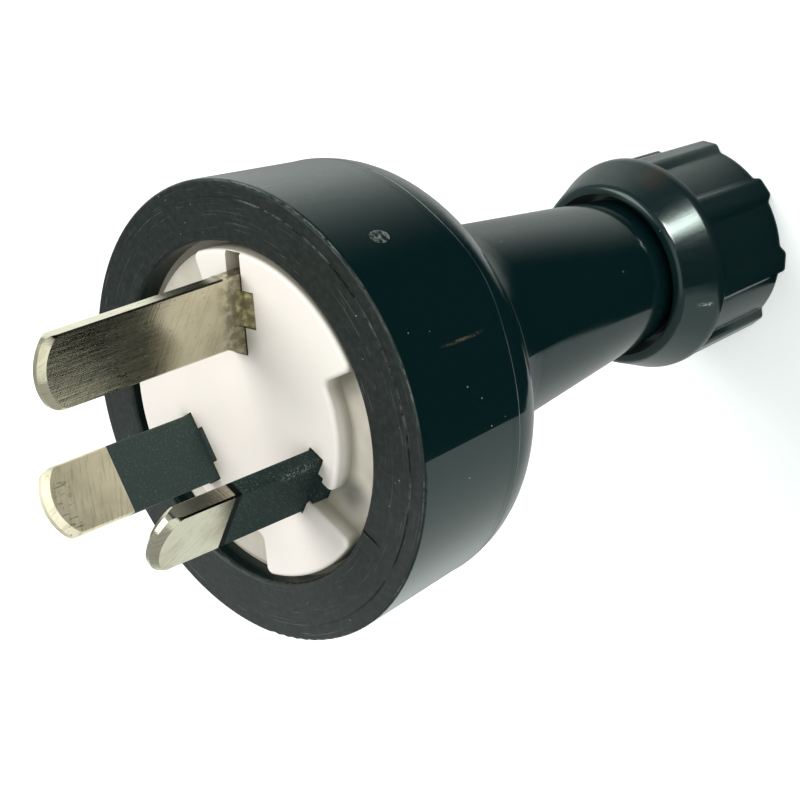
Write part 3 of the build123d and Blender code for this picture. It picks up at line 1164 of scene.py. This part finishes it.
@dataclass
class Panel:
    """One soft light, aimed at the plug, that may be kept to highlights alone."""

    name: str
    place: Point
    size: Span
    power: float
    colour: Colour
    target: Point = (0.0, 0.0, 0.045)
    spread: float = math.pi
    lights_colour: bool = True

    def build(self) -> None:
        """Adds the light."""
        Shop.clear()
        bpy.ops.object.light_add(type="AREA", location=self.place)
        lamp = bpy.context.object
        lamp.name = self.name
        lamp.data.shape = "RECTANGLE"
        lamp.data.size, lamp.data.size_y = self.size
        lamp.data.energy = self.power
        lamp.data.color = self.colour
        lamp.data.spread = self.spread
        aim = Vector(self.target) - Vector(self.place)
        lamp.rotation_euler = aim.to_track_quat("-Z", "Y").to_euler()
        lamp.visible_camera = False
        lamp.visible_diffuse = self.lights_colour


@dataclass
class Studio:
    """Pale floor, white surround, soft panels, two dark sheets seen only in reflections, and the camera."""

    floor_size: float = 3.0
    floor_colour: Colour = (0.895, 0.93, 0.915)
    floor_mottle: float = 0.985
    floor_glow: float = 0.34
    surround: Colour = (0.965, 1.0, 0.988)
    surround_strength: float = 0.62
    card_start: Point = (8.7 * MM, -2.8 * MM, 0.2 * MM)
    card_edge: tuple[Point, ...] = (
        (4.8 * MM, -8.9 * MM, 0.0),
        (270.7 * MM, -85.3 * MM, 0.0),
        (0.0, 0.0, 150.0 * MM),
    )
    card_steps: int = 48
    card_turn: float = math.radians(159.0)
    card_fade: Span = (math.radians(66.0), math.radians(134.0))
    card_near: Span = (14.0 * MM, 34.0 * MM)
    near_turn: float = math.radians(32.0)
    shade_place: Point = (-56.0 * MM, -18.0 * MM, 0.1 * MM)
    shade_reach: Span = (24.0 * MM, 86.0 * MM)
    shade_depth: float = 0.74
    camera_place: Point = (0.148960, 0.069099, 0.190266)
    camera_right: Point = (0.71213, -0.06984, -0.69857)
    camera_up: Point = (-0.18665, 0.94040, -0.28429)
    camera_near: float = 0.01
    sensor: float = 36.0  # millimetres, as the lens
    lens: float = 107.57

    def build(self) -> None:
        """Sets up the whole studio."""
        self.floor()
        self.card()
        self.shade()
        self.light()
        self.camera()

    def floor(self) -> None:
        """Adds the floor that the plug stands on."""
        Shop.clear()
        bpy.ops.mesh.primitive_plane_add(size=self.floor_size)
        floor = Shop.named("floor")
        g = Graph("floor_paper")
        darker = tuple(self.floor_mottle * part for part in self.floor_colour)
        g.set(Base_Color=g.blend(g.noise(40.0, 4.0), self.floor_colour, darker), Roughness=0.9)
        g.set(Emission_Color=self.floor_colour, Emission_Strength=self.floor_glow)
        floor.data.materials.append(g.material)

    def card(self) -> None:
        """Adds a black card round one side of the plug, with a soft edge that turns near the plug."""
        Shop.clear()
        bpy.ops.mesh.primitive_plane_add(size=1.0 * MM, location=self.card_start)
        card = Shop.named("dark_card")
        Shop.edit("VERT")
        bpy.ops.mesh.merge(type="CENTER")
        for run in self.card_edge:
            bpy.ops.mesh.extrude_region_move(TRANSFORM_OT_translate={"value": run})
        bpy.ops.mesh.select_all(action="SELECT")
        bpy.ops.mesh.spin(steps=self.card_steps, angle=self.card_turn, center=(0, 0, 0), axis=(0, 0, -1))
        Shop.done()
        start, end = self.card_fade
        inner, outer = self.card_near
        g = Graph("card_black")
        radius, _, angle = g.round_place()
        turned = g.sum(Op.ADD, angle, g.product(g.step(radius, outer, inner), self.near_turn))
        self.reflected(card, g, g.step(turned, end, start))

    def shade(self) -> None:
        """Adds a soft dark patch on the floor behind the plug."""
        Shop.clear()
        inner, outer = self.shade_reach
        bpy.ops.mesh.primitive_circle_add(
            vertices=64, radius=outer, fill_type="NGON", location=self.shade_place
        )
        patch = Shop.named("floor_shade")
        g = Graph("shade_black")
        depth = g.product(g.step(g.reach(self.shade_place), outer, inner), self.shade_depth)
        self.reflected(patch, g, depth)

    @staticmethod
    def reflected(sheet: Object, g: Graph, cover: Socket) -> None:
        """Makes a sheet black, with soft edges, and seen only in reflections.

        Args:
            sheet: The object.
            g: The graph of its material.
            cover: How much it hides, 0 to 1.
        """
        g.set(Base_Color=(0.0, 0.0, 0.0), Roughness=1.0, Specular_IOR_Level=0.0, Alpha=cover)
        sheet.data.materials.append(g.material)
        sheet.visible_camera = sheet.visible_diffuse = sheet.visible_shadow = False

    def light(self) -> None:
        """Adds the white surround and the panels."""
        world = bpy.data.worlds.new("surround")
        bpy.context.scene.world = world
        world.use_nodes = True
        back = world.node_tree.nodes["Background"]
        back.inputs["Color"].default_value = (*self.surround, 1.0)
        back.inputs["Strength"].default_value = self.surround_strength
        panels = (
            Panel("key_panel", (-0.26, 0.34, 0.62), (0.42, 0.42), 3.55, (1.0, 0.985, 0.96)),
            Panel("fill_panel", (0.45, 0.06, 0.32), (0.60, 0.60), 1.1, (0.95, 1.0, 0.97)),
            Panel(
                "low_lamp",
                (0.165, 0.165, 0.014),
                (0.085, 0.028),
                0.058,
                (1.0, 0.94, 0.95),
                target=(0.0, 0.0, -0.008),
                spread=math.radians(20.0),
                lights_colour=False,
            ),
        )
        for panel in panels:
            panel.build()
        view = bpy.context.scene.view_settings
        view.view_transform = "Standard"
        view.look = "None"

    def camera(self) -> None:
        """Adds the camera at the photograph's place."""
        Shop.clear()
        right, up = Vector(self.camera_right), Vector(self.camera_up)
        axes = Matrix((right, up, right.cross(up))).transposed()
        bpy.ops.object.camera_add(location=self.camera_place)
        camera = bpy.context.object
        camera.name = "camera"
        camera.data.sensor_width = self.sensor
        camera.data.lens = self.lens
        camera.data.clip_start = self.camera_near
        camera.matrix_world = Matrix.Translation(self.camera_place) @ axes.to_4x4()
        bpy.context.scene.camera = camera


def main() -> None:
    """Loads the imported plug, adds its marks, dresses it and sets up the studio."""
    logging.basicConfig(level=logging.INFO, format="%(name)s %(message)s")
    for left in list(bpy.data.objects):
        bpy.data.objects.remove(left)
    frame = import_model()
    cover = CoverFinish().material()
    Wardrobe(frame["nodes"]).dress(cover)
    CoverMarks(frame["nodes"]["cover_shell"]).build(FlashHighlightFinish().material(), ScarFinish().material())
    SpigotThread().build(cover)
    Studio().build()


if __name__ == "__main__":
    main()
